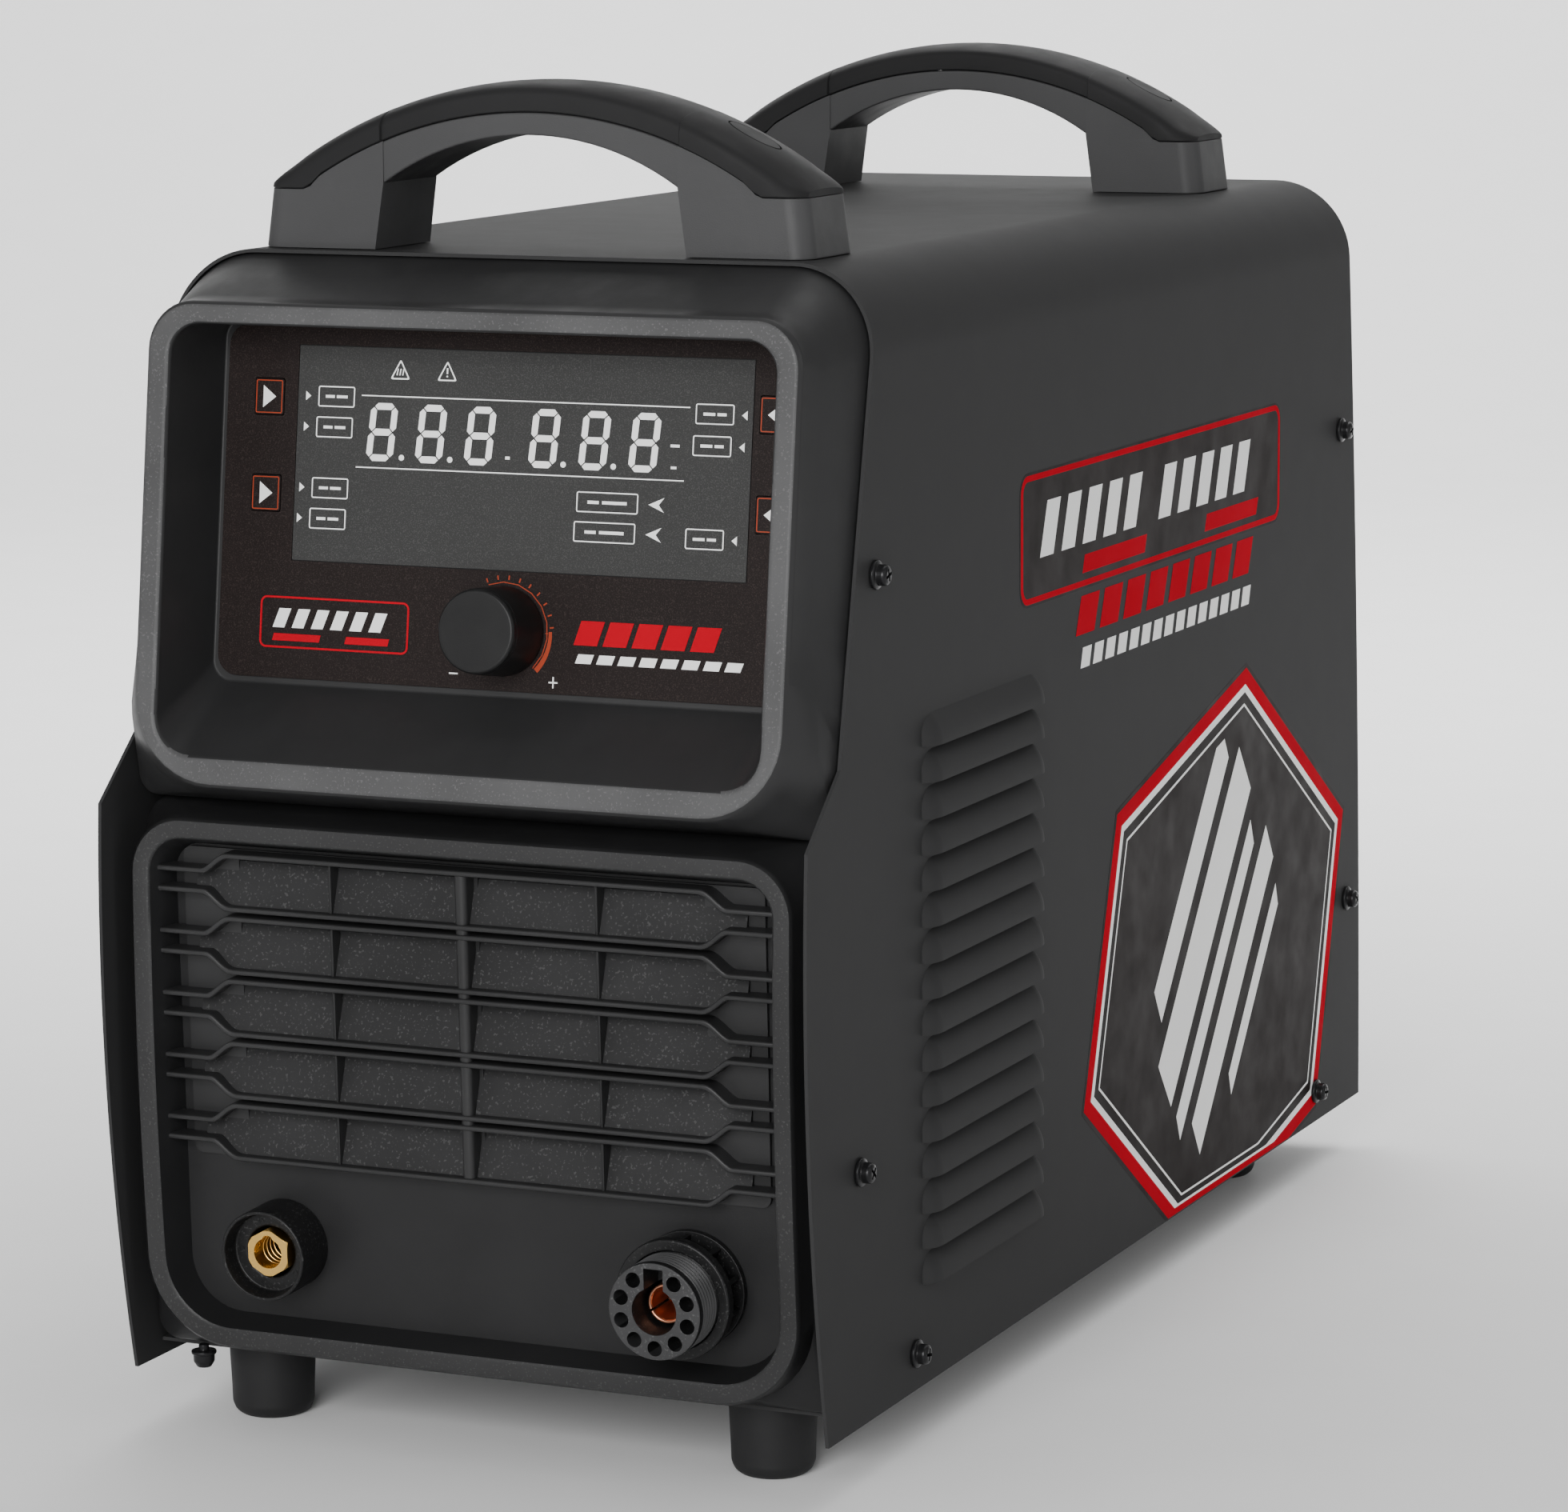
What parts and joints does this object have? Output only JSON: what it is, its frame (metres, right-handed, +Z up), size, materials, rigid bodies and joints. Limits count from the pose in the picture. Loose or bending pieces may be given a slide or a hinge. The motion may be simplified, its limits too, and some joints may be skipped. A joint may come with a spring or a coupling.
{
  "type": "plasma cutter unit",
  "caption": "Portable plasma cutting power source: dark steel case, recessed sloping control panel, slotted front grille, two front sockets, two arched carrying handles and rubber feet.",
  "frame": {"origin": "middle of the footprint at the level of the feet's soles", "axes": "+Z up, -Y out of the front, +X to the right as seen from the front"},
  "size_m": [0.333, 0.7226, 0.5658],
  "materials": {
    "powder_coat": "matt textured dark grey powder coat",
    "black_abs": "fine-grained black moulding",
    "handle_grey": "charcoal grey moulding",
    "rubber": "matt black rubber",
    "overlay_film": "satin brown-black film",
    "window_film": "smoked film",
    "brass": "machined",
    "copper": "machined copper alloy",
    "black_steel": "black oxide",
    "zinc_steel": "zinc plated",
    "aluminium": "extruded",
    "circuit_board": "green solder mask",
    "ferrite": "dark ferrite",
    "winding": "enamelled copper wire",
    "grey_plastic": "light grey moulding"
  },
  "bodies": {
    "machine": {"air_inlet": "brass", "air_valve": "brass", "base_tray": "powder_coat", "breaker_body": "grey_plastic", "bus_capacitor": "black_abs", "cable_gland": "black_abs", "centre_partition": "zinc_steel", "control_board": "circuit_board", "control_overlay": "overlay_film", "cover": "powder_coat", "display_board": "circuit_board", "display_window": "window_film", "earth_contact": "brass", "earth_socket": "black_abs", "fan_frame": "black_abs", "fan_guard": "zinc_steel", "foot_front_left": "rubber", "foot_front_right": "rubber", "foot_rear_left": "rubber", "foot_rear_right": "rubber", "front_grille": "black_abs", "front_hood": "black_abs", "ground_stud": "zinc_steel", "handle_front_body": "handle_grey", "handle_front_cap": "handle_grey", "handle_front_plug_left": "handle_grey", "handle_front_plug_right": "handle_grey", "handle_rear_body": "handle_grey", "handle_rear_cap": "handle_grey", "handle_rear_plug_left": "handle_grey", "handle_rear_plug_right": "handle_grey", "heatsink": "aluminium", "lower_panel": "black_abs", "output_choke": "winding", "potentiometer": "grey_plastic", "rear_panel": "black_abs", "screw_left_front_low": "black_steel", "screw_left_front_mid": "black_steel", "screw_left_front_top": "black_steel", "screw_left_rear_low": "black_steel", "screw_left_rear_mid": "black_steel", "screw_left_rear_top": "black_steel", "screw_right_front_low": "black_steel", "screw_right_front_mid": "black_steel", "screw_right_front_top": "black_steel", "screw_right_rear_low": "black_steel", "screw_right_rear_mid": "black_steel", "screw_right_rear_top": "black_steel", "torch_collar": "black_abs", "torch_contact": "copper", "torch_socket": "black_abs", "transformer_core": "ferrite", "transformer_winding": "winding"},
    "control_knob": {"control_knob": "black_abs"},
    "fan_rotor": {"fan_rotor": "black_abs"},
    "breaker_lever": {"breaker_lever": "black_abs"},
    "key_left_upper": {"key_left_upper": "overlay_film"},
    "key_left_lower": {"key_left_lower": "overlay_film"},
    "key_right_upper": {"key_right_upper": "overlay_film"},
    "key_right_lower": {"key_right_lower": "overlay_film"}
  },
  "joints": [
    {"name": "knob_turn", "type": "hinge", "parent": "machine", "child": "control_knob", "pos_m": [0.003, -0.3011, 0.34418], "axis": [0, -0.9921, 0.1253], "range_deg": [-135, 135]},
    {"name": "fan_spin", "type": "hinge", "parent": "machine", "child": "fan_rotor", "pos_m": [0, 0.29303, 0.3105], "axis": [0, 1, 0], "continuous": true},
    {"name": "breaker_throw", "type": "hinge", "parent": "machine", "child": "breaker_lever", "pos_m": [-0.092, 0.31933, 0.4375], "axis": [1, 0, 0], "range_deg": [0, 70]},
    {"name": "press_left_upper", "type": "slide", "parent": "machine", "child": "key_left_upper", "axis": [0, 0.9921, -0.1253], "range_m": [0, 0.0005], "stiffness_N_per_m": 400},
    {"name": "press_left_lower", "type": "slide", "parent": "machine", "child": "key_left_lower", "axis": [0, 0.9921, -0.1253], "range_m": [0, 0.0005], "stiffness_N_per_m": 400},
    {"name": "press_right_upper", "type": "slide", "parent": "machine", "child": "key_right_upper", "axis": [0, 0.9921, -0.1253], "range_m": [0, 0.0005], "stiffness_N_per_m": 400},
    {"name": "press_right_lower", "type": "slide", "parent": "machine", "child": "key_right_lower", "axis": [0, 0.9921, -0.1253], "range_m": [0, 0.0005], "stiffness_N_per_m": 400}
  ]
}
